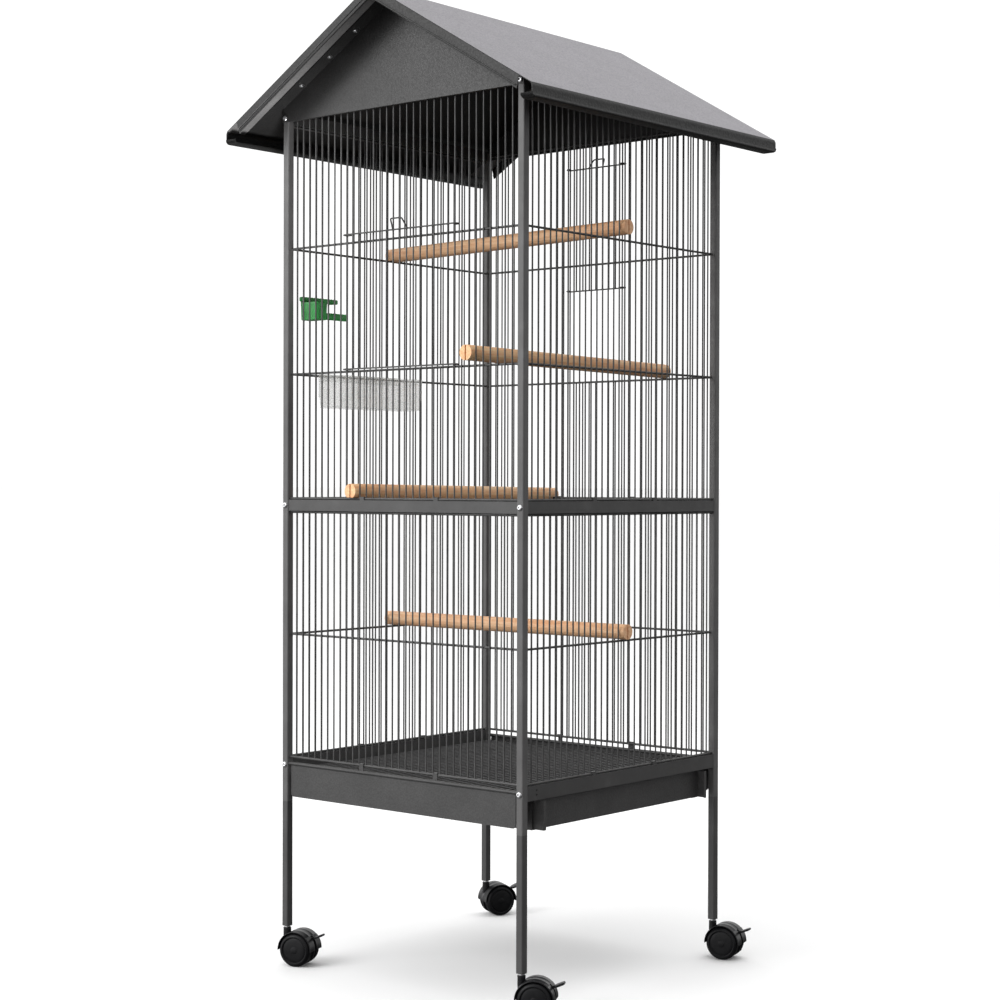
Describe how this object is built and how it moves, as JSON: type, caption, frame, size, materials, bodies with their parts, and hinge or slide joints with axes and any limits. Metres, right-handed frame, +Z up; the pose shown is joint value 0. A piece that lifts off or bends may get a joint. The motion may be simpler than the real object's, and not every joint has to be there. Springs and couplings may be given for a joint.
{
  "type": "bird cage on stand",
  "caption": "Tall square wire bird cage with a gabled sheet roof, sliding wire doors, perches, feeders, a slide-out tray and a leg stand on braked twin-wheel casters.",
  "frame": {"origin": "on the floor, at the middle of the four legs", "axes": "+Z up; -Y is the gabled front with the wide door; +X is the side that the tray leaves by"},
  "size_m": [0.65, 0.64, 1.553],
  "materials": {
    "powder_coat": "satin charcoal powder coat",
    "hammered_sheet": "hammered charcoal powder coat",
    "coated_wire": "smooth dark powder coat",
    "zinc": "bright zinc plate",
    "perch_wood": "bare turned hardwood",
    "green_plastic": "moulded",
    "clear_plastic": "clear moulded",
    "black_plastic": "moulded nylon",
    "wheel_plastic": "hard moulded tread"
  },
  "bodies": {
    "cage": {"post_left_front": "powder_coat", "post_right_front": "powder_coat", "post_right_rear": "powder_coat", "post_left_rear": "powder_coat", "leg_left_front": "powder_coat", "leg_right_front": "powder_coat", "leg_right_rear": "powder_coat", "leg_left_rear": "powder_coat", "leg_joiners": "powder_coat", "leg_plugs": "black_plastic", "caster_stems": "zinc", "roof_left": "hammered_sheet", "roof_right": "hammered_sheet", "gable_front": "hammered_sheet", "gable_rear": "hammered_sheet", "top_rail_left": "powder_coat", "top_rail_right": "powder_coat", "mid_rail_front": "powder_coat", "mid_rail_right": "powder_coat", "mid_rail_rear": "powder_coat", "mid_rail_left": "powder_coat", "skirt_front": "hammered_sheet", "skirt_rear": "hammered_sheet", "skirt_left": "hammered_sheet", "base_rail_left": "powder_coat", "base_rail_right": "powder_coat", "tray_runners": "hammered_sheet", "floor_grid": "coated_wire", "wires_upper_front": "coated_wire", "wires_upper_right": "coated_wire", "wires_upper_rear": "coated_wire", "wires_upper_left": "coated_wire", "wires_lower_front": "coated_wire", "wires_lower_right": "coated_wire", "wires_lower_rear": "coated_wire", "wires_lower_left": "coated_wire", "perch_top": "perch_wood", "perch_upper": "perch_wood", "perch_middle": "perch_wood", "perch_low": "perch_wood", "roof_screws": "zinc", "frame_bolts": "zinc", "rail_nuts": "zinc"},
    "tray": {"tray": "hammered_sheet"},
    "door_front": {"door_front": "coated_wire"},
    "door_rear": {"door_rear": "coated_wire"},
    "feeding_cup": {"feeding_cup": "green_plastic"},
    "feeding_trough": {"feeding_trough": "clear_plastic"},
    "caster_left_front": {"hood_left_front": "black_plastic"},
    "rollers_left_front": {"wheels_left_front": "wheel_plastic"},
    "pedal_left_front": {"brake_left_front": "black_plastic"},
    "caster_right_front": {"hood_right_front": "black_plastic"},
    "rollers_right_front": {"wheels_right_front": "wheel_plastic"},
    "pedal_right_front": {"brake_right_front": "black_plastic"},
    "caster_right_rear": {"hood_right_rear": "black_plastic"},
    "rollers_right_rear": {"wheels_right_rear": "wheel_plastic"},
    "pedal_right_rear": {"brake_right_rear": "black_plastic"},
    "caster_left_rear": {"hood_left_rear": "black_plastic"},
    "rollers_left_rear": {"wheels_left_rear": "wheel_plastic"},
    "pedal_left_rear": {"brake_left_rear": "black_plastic"}
  },
  "joints": [
    {"name": "tray_slide", "type": "slide", "parent": "cage", "child": "tray", "axis": [1, 0, 0], "range_m": [0, 0.4]},
    {"name": "door_front_slide", "type": "slide", "parent": "cage", "child": "door_front", "axis": [0, 0, 1], "range_m": [0, 0.165]},
    {"name": "door_rear_slide", "type": "slide", "parent": "cage", "child": "door_rear", "axis": [0, 0, 1], "range_m": [-0.158, 0.012]},
    {"name": "feeding_cup_slide", "type": "slide", "parent": "cage", "child": "feeding_cup", "axis": [0, 0, 1], "range_m": [-0.08, 0.06]},
    {"name": "feeding_trough_lift", "type": "slide", "parent": "cage", "child": "feeding_trough", "axis": [0, 0, 1], "range_m": [0, 0.03]},
    {"name": "caster_swivel_left_front", "type": "hinge", "parent": "cage", "child": "caster_left_front", "pos_m": [-0.25, -0.25, 0.05], "axis": [0, 0, 1], "continuous": true},
    {"name": "wheel_spin_left_front", "type": "hinge", "parent": "caster_left_front", "child": "rollers_left_front", "pos_m": [-0.22933, -0.24248, 0.027], "axis": [-0.342, 0.9397, 0], "continuous": true},
    {"name": "brake_pedal_left_front", "type": "hinge", "parent": "caster_left_front", "child": "pedal_left_front", "pos_m": [-0.21044, -0.2356, 0.0427], "axis": [-0.342, 0.9397, 0], "range_deg": [0, 18]},
    {"name": "caster_swivel_right_front", "type": "hinge", "parent": "cage", "child": "caster_right_front", "pos_m": [0.25, -0.25, 0.05], "axis": [0, 0, 1], "continuous": true},
    {"name": "wheel_spin_right_front", "type": "hinge", "parent": "caster_right_front", "child": "rollers_right_front", "pos_m": [0.26905, -0.239, 0.027], "axis": [-0.5, 0.866, 0], "continuous": true},
    {"name": "brake_pedal_right_front", "type": "hinge", "parent": "caster_right_front", "child": "pedal_right_front", "pos_m": [0.28646, -0.22895, 0.0427], "axis": [-0.5, 0.866, 0], "range_deg": [0, 18]},
    {"name": "caster_swivel_right_rear", "type": "hinge", "parent": "cage", "child": "caster_right_rear", "pos_m": [0.25, 0.25, 0.05], "axis": [0, 0, 1], "continuous": true},
    {"name": "wheel_spin_right_rear", "type": "hinge", "parent": "caster_right_rear", "child": "rollers_right_rear", "pos_m": [0.27125, 0.25569, 0.027], "axis": [-0.2588, 0.9659, 0], "continuous": true},
    {"name": "brake_pedal_right_rear", "type": "hinge", "parent": "caster_right_rear", "child": "pedal_right_rear", "pos_m": [0.29066, 0.26089, 0.0427], "axis": [-0.2588, 0.9659, 0], "range_deg": [0, 18]},
    {"name": "caster_swivel_left_rear", "type": "hinge", "parent": "cage", "child": "caster_left_rear", "pos_m": [-0.25, 0.25, 0.05], "axis": [0, 0, 1], "continuous": true},
    {"name": "wheel_spin_left_rear", "type": "hinge", "parent": "caster_left_rear", "child": "rollers_left_rear", "pos_m": [-0.23967, 0.26943, 0.027], "axis": [-0.8829, 0.4695, 0], "continuous": true},
    {"name": "brake_pedal_left_rear", "type": "hinge", "parent": "caster_left_rear", "child": "pedal_left_rear", "pos_m": [-0.23024, 0.28717, 0.0427], "axis": [-0.8829, 0.4695, 0], "range_deg": [0, 18]}
  ]
}
